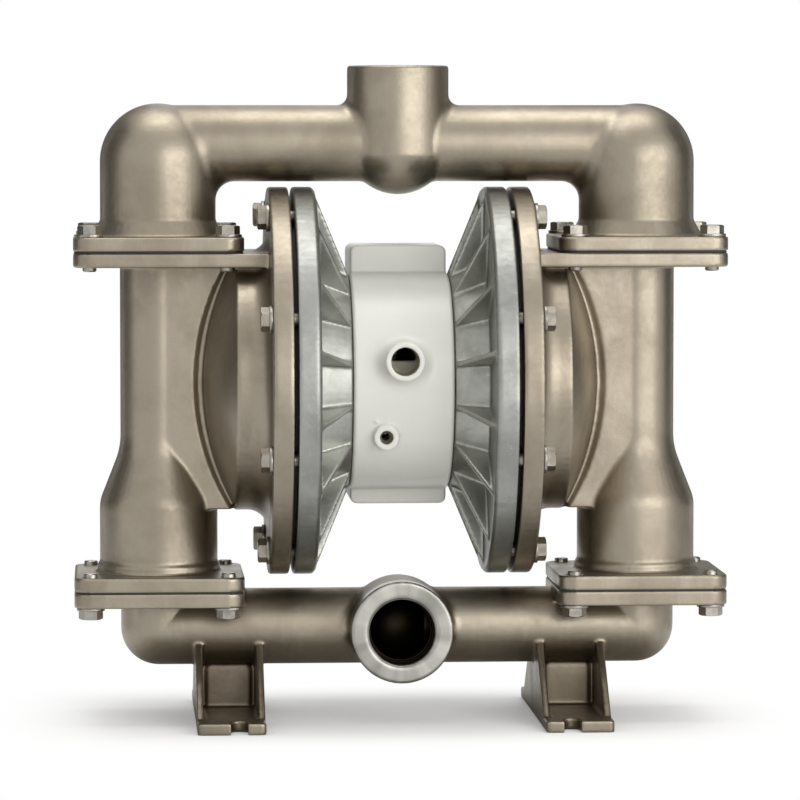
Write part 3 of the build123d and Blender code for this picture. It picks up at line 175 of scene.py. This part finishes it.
def cast_metal(
    name, base, dark, light, rough=0.40, machined=None, inside=None, blotch=0.0, skin=None, painted_low_shade=None,
):
    """Blasted casting with fine grain, stains, worn edges and painted shade in its creases.

    machined(g) gives its turned faces. inside(g) masks its bore and the hollows behind it, which are painted near
    black as shade, and grime(g) masks where it is darkened low in the feet, painted shade. The skin brightens what
    lies behind an air chamber's rim: partly its as-cast tone, partly painted light, stronger on the lit left
    chamber.
    """
    g = Graph(name)
    fine = g.noise(1400.0, 2.0, 0.6)
    medium = g.noise(260.0, 4.0, 0.6)
    stain = g.noise(16.0, 5.0, 0.6, distortion=0.4)
    streak = g.noise(45.0, 4.0, 0.6, vector=g.vector("MULTIPLY", g.coordinates, (1.0, 1.0, 0.25)))
    edge = g.pointiness()
    colour = g.mix(g.ramp(stain, 0.35, 0.7), base, dark)
    colour = g.mix(g.ramp(streak, 0.52, 0.78, 0.0, 0.45), colour, light)
    colour = g.mix(g.ramp(fine, 0.45, 0.75, 0.0, 0.22), colour, dark)
    if blotch:
        colour = g.mix(g.ramp(g.noise(75.0, 5.0, 0.65, distortion=0.6), 0.5, 0.66, 0.0, blotch), colour, dark)
        colour = g.mix(g.ramp(g.noise(110.0, 4.0, 0.7), 0.58, 0.7, 0.0, blotch), colour, light)
    colour = g.mix(g.ramp(edge, 0.515, 0.57, 0.0, 0.5), colour, light)
    # Painted shade: concave creases are darkened towards near black.
    colour = g.mix(g.ramp(edge, 0.485, 0.42, 0.0, 0.7), colour, g.mix(0.5, dark, CREVICE_SHADE))
    broad_rough = g.ramp(stain, 0.3, 0.75, rough - 0.05, rough + 0.05)
    roughness = g.math("ADD", broad_rough, g.ramp(medium, 0.35, 0.65, -0.03, 0.03))
    height = g.math("ADD", g.math("MULTIPLY", fine, 0.35), g.math("MULTIPLY", medium, 0.9))
    if skin:
        # Painted light: the skin factor brightens what lies behind an air chamber's rim, more on the lit left
        # chamber; partly as-cast tone.
        across = g.math("ABSOLUTE", g.split(g.coordinates)[0])
        brightened_behind_rim = g.ramp(across, RIM_BACK_X - 0.0004, RIM_BACK_X - 0.0016)
        colour = g.mix(brightened_behind_rim, colour, g.mix(1.0, colour, skin, "MULTIPLY"))
    if painted_low_shade:
        # Painted shade: darker low in the feet, behind their front edges.
        colour = g.mix(painted_low_shade(g), colour, g.mix(1.0, colour, LOW_SHADE_TINT, "MULTIPLY"))
    values = {}
    if machined:
        mask, turned_colour_and_reflection, lines, tangent = machined(g)
        rest = g.math("SUBTRACT", 1.0, mask)
        colour = g.mix(mask, colour, turned_colour_and_reflection)
        roughness = g.math("ADD", g.math("MULTIPLY", roughness, rest), g.math("MULTIPLY", mask, TURNED_ROUGH))
        height = g.math("ADD", g.math("MULTIPLY", height, rest), g.math("MULTIPLY", mask, lines))
        values = {"Anisotropic": g.math("MULTIPLY", mask, 0.75), "Tangent": tangent}
    if inside:
        # Painted shade: the bore and the hollows behind it are painted near black.
        colour = g.mix(inside(g), colour, BORE_SHADE)
    normal = g.bump(height, CAST_GRAIN)
    return g.surface(Base_Color=colour, Metallic=1.0, Roughness=roughness, Normal=normal, **values)


def turned_metal(name, base, dark, rough=0.28):
    """Turned or forged steel with fine lines, small marks and painted shade in its concave creases."""
    g = Graph(name)
    lines = g.noise(900.0, 2.0, 0.5, vector=g.vector("MULTIPLY", g.coordinates, (1.0, 1.0, 3.0)))
    marks = g.noise(120.0, 4.0, 0.6)
    edge = g.pointiness()
    colour = g.mix(g.ramp(marks, 0.4, 0.7), base, dark)
    # Painted shade: concave creases are darker.
    colour = g.mix(g.ramp(edge, 0.49, 0.43, 0.0, 0.5), colour, dark)
    roughness = g.ramp(marks, 0.3, 0.7, rough - 0.02, rough + 0.05)
    return g.surface(Base_Color=colour, Metallic=1.0, Roughness=roughness, Normal=g.bump(lines, TURNED_GRAIN))


def from_port(g, port, axis):
    """Distance along the port's axis, distance from it, and the offset from the port's face."""
    away = g.vector("SUBTRACT", g.coordinates, tuple(port))
    along = g.vector("DOT_PRODUCT", away, tuple(axis))
    flat = g.vector("SUBTRACT", away, g.vector("SCALE", tuple(axis), scale=along))
    return along, g.vector("LENGTH", flat), flat


def port_rings(port, axis, turned_length=0.0):
    """Mask, colour, lines and tangent of a port's turned face, its rim and the threaded bore behind it."""
    def masks(g):
        along, r, flat = from_port(g, port, axis)
        within = g.ramp(r, PORT_RIM + 0.003, PORT_RIM + 0.001)
        face = g.math("MULTIPLY", g.ramp(along, -0.0012, -0.0004), within)
        rim = g.math("MULTIPLY", g.ramp(r, PORT_RIM - 0.002, PORT_RIM - 0.0015), within)
        rim = g.math("MULTIPLY", rim, g.ramp(along, -turned_length - 0.0012, -turned_length - 0.0004))
        thread = g.math(
            "MULTIPLY", g.ramp(r, PORT_BORE + 0.0032, PORT_BORE + 0.0026),
            g.ramp(along, -THREAD_DEPTH - 0.001, -THREAD_DEPTH),
        )
        # Painted reflection: the turned colour is lighter and darker in sectors around the port's axis.
        around = g.noise(2.1, 2.0, 0.5, vector=g.vector("NORMALIZE", flat))
        turned_colour_and_reflection = g.mix(g.ramp(around, 0.32, 0.68), rgb(0.29, 0.285, 0.26), rgb(0.44, 0.435, 0.40))
        turned = g.math("MULTIPLY", g.math("SINE", g.math("MULTIPLY", r, 5200.0)), 0.12)
        cut = g.math("MULTIPLY", g.math("SINE", g.math("MULTIPLY", along, 2 * math.pi / THREAD_PITCH)), 4.0)
        inner = g.ramp(r, PORT_BORE + 0.0008, PORT_BORE + 0.0004)
        lines = g.math("ADD", turned, g.math("MULTIPLY", cut, inner))
        mask = g.math("MAXIMUM", g.math("MAXIMUM", face, rim), thread)
        return mask, turned_colour_and_reflection, lines, g.vector("CROSS_PRODUCT", tuple(axis), flat)
    return masks


def hollow(port, axis, middle):
    """Mask of what lies behind a port, painted near black as shade: its bore, the hollow of the tee and the pipe
    along X.
    """
    reach = (Vector(port) - Vector(middle)).length

    def masks(g):
        along, r, _ = from_port(g, port, axis)
        tube = g.ramp(r, PORT_BORE + 0.0020, PORT_BORE + 0.0008)
        tube = g.math("MULTIPLY", tube, g.ramp(along, -0.001, -0.007))
        tube = g.math("MULTIPLY", tube, g.ramp(along, -reach - 0.002, -reach))
        away = g.vector("SUBTRACT", g.coordinates, tuple(middle))
        ball = g.ramp(g.vector("LENGTH", away), TEE_HOLLOW + 0.001, TEE_HOLLOW)
        x, y, z = g.split(away)
        from_axis = g.math("SQRT", g.math("ADD", g.math("MULTIPLY", y, y), g.math("MULTIPLY", z, z)))
        pipe = g.math(
            "MULTIPLY", g.ramp(from_axis, PIPE_HOLLOW + 0.001, PIPE_HOLLOW),
            g.ramp(g.math("ABSOLUTE", x), PIPE_REACH + 0.010, PIPE_REACH),
        )
        return g.math("MAXIMUM", tube, g.math("MAXIMUM", ball, pipe))
    return masks


def foot_painted_shade(g):
    """Painted shade low in the feet, behind their front edges."""
    _, y, z = g.split(g.coordinates)
    behind = g.ramp(g.math("ABSOLUTE", y), FOOT_EDGE_Y, FOOT_EDGE_Y - 0.002)
    return g.math("MULTIPLY", g.ramp(z, 0.068, 0.022), behind)


WARM = (rgb(0.337, 0.297, 0.235), rgb(0.264, 0.228, 0.176), rgb(0.43, 0.39, 0.325))
UP, FORWARD = (0, 0, 1), (0, -1, 0)
TOP_PORT, TOP_MIDDLE = (0, 0, DISCHARGE_PORT_Z), (0, 0, DISCHARGE_Z)
FRONT_PORT, FRONT_MIDDLE = (0, SUCTION_PORT_Y, SUCTION_Z), (0, 0, SUCTION_Z)
stainless = cast_metal("cast_stainless", *WARM)
stainless_top = cast_metal(
    "cast_stainless_top", *WARM,
    machined=port_rings(TOP_PORT, UP), inside=hollow(TOP_PORT, UP, TOP_MIDDLE),
)
stainless_front = cast_metal(
    "cast_stainless_front", *WARM,
    machined=port_rings(FRONT_PORT, FORWARD, TURNED_LENGTH), inside=hollow(FRONT_PORT, FORWARD, FRONT_MIDDLE),
    painted_low_shade=foot_painted_shade,
)
ALUMINIUM = (rgb(0.355, 0.36, 0.34), rgb(0.26, 0.265, 0.245), rgb(0.44, 0.445, 0.425))
# The two chambers' copies differ in their skin: the left one, which the key lamp lights, is brightened more behind
# its rim, painted light.
aluminium_left = cast_metal(
    "cast_aluminium_left", *ALUMINIUM, rough=0.42, blotch=0.35, skin=rgb(1.28, 1.28, 1.26),
)
aluminium_right = cast_metal(
    "cast_aluminium_right", *ALUMINIUM, rough=0.42, blotch=0.5, skin=rgb(1.20, 1.19, 1.16),
)
bolt_steel = turned_metal("bolt_steel", rgb(0.37, 0.35, 0.31), rgb(0.25, 0.235, 0.205))
rim_bolt_steel = turned_metal("rim_bolt_steel", rgb(0.31, 0.285, 0.24), rgb(0.21, 0.19, 0.16), 0.34)
washer_steel = turned_metal("washer_steel", rgb(0.36, 0.34, 0.305), rgb(0.25, 0.235, 0.21), 0.32)
turned_steel = turned_metal("turned_steel", rgb(0.62, 0.61, 0.59), rgb(0.48, 0.47, 0.45), 0.18)
plate_metal = turned_metal("plate_aluminium", rgb(0.74, 0.74, 0.73), rgb(0.60, 0.60, 0.59), 0.30)
circlip_metal = turned_metal("circlip_steel", rgb(0.20, 0.20, 0.20), rgb(0.12, 0.12, 0.12), 0.35)
bronze = turned_metal("bush_bronze", rgb(0.62, 0.42, 0.20), rgb(0.42, 0.27, 0.12), 0.30)


def moulded(name, base, dark, rough, grain, scale, coat=0.0, bores=()):
    """Paint, plastic or rubber with soft colour shifts, fine skin, and dust and painted shade in its corners; its
    bores are bare, with painted shade past their depth.
    """
    g = Graph(name)
    soft = g.noise(14.0, 4.0, 0.6)
    skin = g.noise(scale, 3.0, 0.55)
    edge = g.pointiness()
    colour = g.mix(g.ramp(soft, 0.35, 0.7), base, dark)
    # Dust and painted shade: concave corners are mixed towards a dark dusty tone.
    colour = g.mix(g.ramp(edge, 0.485, 0.43, 0.0, 0.35), colour, g.mix(0.5, dark, CORNER_DUST_AND_SHADE))
    for port, radius, depth in bores:
        along, r, _ = from_port(g, port, FORWARD)
        inner = g.math("MULTIPLY", g.ramp(r, radius + 0.0009, radius + 0.0003), g.ramp(along, -0.0006, -0.0014))
        inner = g.math("MULTIPLY", inner, g.ramp(along, -BODY_BACK - 0.001, -BODY_BACK))
        # Painted shade: past its depth the bore is painted near black.
        bare = g.mix(g.ramp(along, -depth + 0.0008, -depth - 0.0012), BARE_BORE, BORE_END_SHADE)
        colour = g.mix(inner, colour, bare)
    return g.surface(
        Base_Color=colour, Roughness=g.ramp(skin, 0.3, 0.7, rough - 0.04, rough + 0.06),
        Coat_Weight=coat, Normal=g.bump(skin, grain),
    )


white_paint = moulded(
    "white_body", rgb(0.735, 0.735, 0.69), rgb(0.70, 0.70, 0.65), 0.38, 0.00006, 420.0, coat=0.15,
    bores=((AIR_PORT, AIR_PORT_BORE, AIR_PORT_DEPTH), (PILOT_PORT, PILOT_BORE, PILOT_DEPTH)),
)
seal_rubber = moulded("seal_rubber", rgb(0.022, 0.021, 0.019), rgb(0.035, 0.033, 0.030), 0.62, 0.00008, 900.0)
diaphragm_rubber = moulded(
    "diaphragm_rubber", rgb(0.028, 0.027, 0.026), rgb(0.045, 0.043, 0.040), 0.55, 0.0001, 600.0,
)
ball_white = moulded("ball_white", rgb(0.82, 0.82, 0.79), rgb(0.78, 0.775, 0.74), 0.30, 0.00003, 300.0)
silencer_black = moulded("silencer_black", rgb(0.030, 0.030, 0.030), rgb(0.05, 0.05, 0.048), 0.50, 0.00012, 500.0)

FINISHES = {
    "discharge_manifold": stainless_top, "suction_manifold": stainless_front, "center_body": white_paint,
    "outer_chamber": stainless, "air_chamber_left": aluminium_left, "air_chamber_right": aluminium_right,
    "body_gasket": seal_rubber, "discharge_gasket": seal_rubber, "suction_gasket": seal_rubber,
    "shaft_seal": seal_rubber, "diaphragm": diaphragm_rubber, "exhaust_silencer": silencer_black,
    "chamber_bolts": rim_bolt_steel, "discharge_bolts": bolt_steel, "suction_bolts": bolt_steel,
    "chamber_washers": washer_steel, "discharge_washers": washer_steel, "suction_washers": washer_steel,
    "air_chamber_screws": bolt_steel, "plate_bolt": bolt_steel, "diaphragm_shaft": turned_steel,
    "outer_plate": turned_steel, "inner_plate": plate_metal, "shaft_bush": bronze, "pilot_bush": bronze,
    "suction_seat": turned_steel, "discharge_seat": turned_steel, "suction_ball": ball_white,
    "discharge_ball": ball_white, "pilot_spool": turned_steel, "valve_sleeve": turned_steel,
    "valve_spool": plate_metal, "valve_plug_top": plate_metal, "valve_plug_bottom": plate_metal,
    "valve_circlip_top": circlip_metal, "valve_circlip_bottom": circlip_metal,
}


def kind(name):
    return name.removesuffix("_left").removesuffix("_right")


for name, piece in nodes.items():
    material = FINISHES.get(name) or FINISHES[kind(name)]
    if not piece.material_slots:
        piece.data.materials.append(material)
    for slot in piece.material_slots:
        slot.link = "OBJECT"
        slot.material = material

# Castings get the soft edges and filled corners of a real casting
CASTINGS = {
    "discharge_manifold": 0.0013, "suction_manifold": 0.0013, "outer_chamber": 0.0014,
    "air_chamber": 0.0012, "center_body": 0.0011,
}
for name, piece in nodes.items():
    voxel = CASTINGS.get(kind(name))
    if voxel:
        remesh = piece.modifiers.new("remesh", "REMESH")
        remesh.mode, remesh.voxel_size, remesh.use_smooth_shade = "VOXEL", voxel, True
        smooth = piece.modifiers.new("smooth", "SMOOTH")
        smooth.factor, smooth.iterations = 0.5, 3

# Small edges of bolts, washers and plates
BEVELS = {
    "chamber_bolts": 0.0005, "discharge_bolts": 0.0005, "suction_bolts": 0.0005, "chamber_washers": 0.0003,
    "discharge_washers": 0.0003, "suction_washers": 0.0003, "discharge_gasket": 0.0002, "suction_gasket": 0.0002,
    "exhaust_silencer": 0.0004, "plate_bolt": 0.0005,
}
for name, piece in nodes.items():
    width = BEVELS.get(kind(name))
    if width:
        weld = piece.modifiers.new("weld", "WELD")
        weld.merge_threshold = 0.00002
        bevel = piece.modifiers.new("bevel", "BEVEL")
        bevel.width, bevel.segments, bevel.limit_method = width, 2, "ANGLE"
        bevel.angle_limit = math.radians(28)
        bevel.harden_normals = True

# Diaphragms: rubber discs in equal sectors, with fine rings from their plates out to their clamped edge
SECTORS, STEPS = 16, 6
HOLE_R, PLATE_R, CLAMP_R, BEAD_R = 0.0068, 0.0868, 0.1235, 0.1290


def diaphragm_sector(side, index):
    low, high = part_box(f"diaphragm_{side}")
    centre_z, outer_r = (low[2] + high[2]) / 2, (high[2] - low[2]) / 2
    radii = [HOLE_R, 0.03, 0.06, *np.linspace(PLATE_R, CLAMP_R, 15), BEAD_R, outer_r]
    angles = (index + np.linspace(0, 1, STEPS + 1)) * 2 * math.pi / SECTORS
    points = [
        (x, r * math.sin(a), centre_z + r * math.cos(a)) for x in (low[0], high[0]) for r in radii for a in angles
    ]
    row, layer = STEPS + 1, len(radii) * (STEPS + 1)
    cells = [i * row + j for i in range(len(radii) - 1) for j in range(STEPS)]
    faces = [(c, c + row, c + row + 1, c + 1) for c in cells]
    faces += [(layer + c, layer + c + 1, layer + c + row + 1, layer + c + row) for c in cells]
    inner = list(range(row))
    outer = [c + layer - row for c in inner]
    first = [i * row for i in range(len(radii))]
    last = [c + STEPS for c in first]
    for edge in (inner, last, outer[::-1], first[::-1]):
        faces += [(a, b, b + layer, a + layer) for a, b in zip(edge, edge[1:])]
    mesh = bpy.data.meshes.new(f"diaphragm_{side}_{index:02d}")
    mesh.from_pydata(points, [], faces)
    work = bmesh.new()
    work.from_mesh(mesh)
    bmesh.ops.recalc_face_normals(work, faces=work.faces)
    work.to_mesh(mesh)
    work.free()
    mesh.materials.append(diaphragm_rubber)
    piece = bpy.data.objects.new(mesh.name, mesh)
    scene.collection.objects.link(piece)
    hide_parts(f"diaphragm_{side}")
    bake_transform(piece)


for side in ("left", "right"):
    for index in range(SECTORS):
        diaphragm_sector(side, index)


# Floor and light
PUMP_MIDDLE = (0, 0, 0.28)


def plane(name, size_x, size_y, centre, towards=None):
    mesh = bpy.data.meshes.new(name)
    x, y = size_x / 2, size_y / 2
    mesh.from_pydata([(-x, -y, 0), (x, -y, 0), (x, y, 0), (-x, y, 0)], [], [(0, 1, 2, 3)])
    obj = bpy.data.objects.new(name, mesh)
    obj.location = centre
    if towards is not None:
        obj.rotation_euler = (Vector(towards) - Vector(centre)).to_track_quat("Z", "Y").to_euler()
    scene.collection.objects.link(obj)
    return obj


def light_path(g):
    """Two masks: rays that reach the camera straight or through glass, and rays reflected on the way."""
    rays = g.tree.nodes.new("ShaderNodeLightPath").outputs
    return g.math("MAXIMUM", rays["Is Camera Ray"], rays["Is Transmission Ray"]), rays["Is Glossy Ray"]


# White floor that keeps the soft shadow under the pump; near the pump it is darker in reflections, a painted shade.
floor = plane("floor", 14.0, 14.0, (0, 0, -0.0002))
g = Graph("floor")
seen, glossy = light_path(g)
across, back, _ = g.split(g.coordinates)
near_x = g.ramp(g.math("ABSOLUTE", across), 0.37, 0.22)
near_y = g.ramp(g.math("ABSOLUTE", back), 0.23, 0.10)
shaded = g.math("MULTIPLY", near_x, near_y)
beyond = g.math("MULTIPLY", g.math("SUBTRACT", 1.0, shaded), g.math("MAXIMUM", seen, glossy))
diffuse = g.tree.nodes.new("ShaderNodeBsdfDiffuse")
# Painted shade in reflections: near the pump, reflected rays see a darker floor.
g.link(g.mix(glossy, rgb(0.93, 0.93, 0.93), rgb(0.50, 0.49, 0.46)), diffuse.inputs["Color"])
lift = g.tree.nodes.new("ShaderNodeEmission")
g.link(g.math("MULTIPLY", seen, 0.14), lift.inputs["Strength"])
both = g.tree.nodes.new("ShaderNodeAddShader")
g.tree.links.new(diffuse.outputs[0], both.inputs[0])
g.tree.links.new(lift.outputs[0], both.inputs[1])
white = g.tree.nodes.new("ShaderNodeEmission")
mixed = g.tree.nodes.new("ShaderNodeMixShader")
g.link(beyond, mixed.inputs[0])
g.tree.links.new(both.outputs[0], mixed.inputs[1])
g.tree.links.new(white.outputs[0], mixed.inputs[2])
g.tree.links.new(mixed.outputs[0], g.output.inputs[0])
floor.data.materials.append(g.material)

# Dark boards beside and behind the pump, out of the picture, seen only in reflections: they glow faintly and paint
# dark reflections on its round sides.
FLAGS = {
    "flag_right": (1.3, 2.4, (1.55, 0.45, 0.7), 0.14),
    "flag_left": (1.3, 2.4, (-1.55, 0.45, 0.7), 0.14),
    "flag_back_right": (1.1, 2.2, (0.85, 1.55, 0.7), 0.25),
    "flag_back_left": (1.1, 2.2, (-0.85, 1.55, 0.7), 0.25),
}
for name, (width, height, centre, level) in FLAGS.items():
    g = Graph(name)
    glow = g.tree.nodes.new("ShaderNodeEmission")
    glow.inputs["Color"].default_value = rgb(level, level, level * 0.96)
    g.tree.links.new(glow.outputs[0], g.output.inputs[0])
    flag = plane(name, width, height, centre, towards=PUMP_MIDDLE)
    flag.data.materials.append(g.material)
    flag.visible_camera = flag.visible_diffuse = flag.visible_shadow = False

LIGHTS = {
    "key": ((1.25, -2.0, 0.75), 2.3, 1.6, 27.5),
    "top": ((0.0, 0.05, 2.2), 1.6, 1.1, 15.0),
}
for name, (place, width, height, power) in LIGHTS.items():
    lamp = bpy.data.lights.new(name, "AREA")
    lamp.shape, lamp.size, lamp.size_y, lamp.energy = "RECTANGLE", width, height, power
    lamp.color = (1.0, 0.985, 0.96)
    obj = bpy.data.objects.new(name, lamp)
    obj.location = place
    obj.rotation_euler = (Vector(PUMP_MIDDLE) - Vector(place)).to_track_quat("-Z", "Y").to_euler()
    scene.collection.objects.link(obj)

world = bpy.data.worlds.new("studio")
scene.world = world
world.use_nodes = True
tree = world.node_tree
tree.nodes.clear()
path = tree.nodes.new("ShaderNodeLightPath")
seen = tree.nodes.new("ShaderNodeMath")
seen.operation = "MAXIMUM"
glossy = tree.nodes.new("ShaderNodeMath")
glossy.operation = "MAXIMUM"
tree.links.new(path.outputs["Is Glossy Ray"], glossy.inputs[0])
tree.links.new(path.outputs["Is Transmission Ray"], glossy.inputs[1])
tree.links.new(path.outputs["Is Camera Ray"], seen.inputs[0])
tree.links.new(glossy.outputs[0], seen.inputs[1])
strength = tree.nodes.new("ShaderNodeMapRange")
strength.inputs["To Min"].default_value = 0.7
strength.inputs["To Max"].default_value = 1.0
tree.links.new(seen.outputs[0], strength.inputs["Value"])
background = tree.nodes.new("ShaderNodeBackground")
background.inputs["Color"].default_value = rgb(1.0, 1.0, 1.0)
tree.links.new(strength.outputs[0], background.inputs["Strength"])
output = tree.nodes.new("ShaderNodeOutputWorld")
tree.links.new(background.outputs[0], output.inputs[0])

scene.view_settings.view_transform = "Standard"
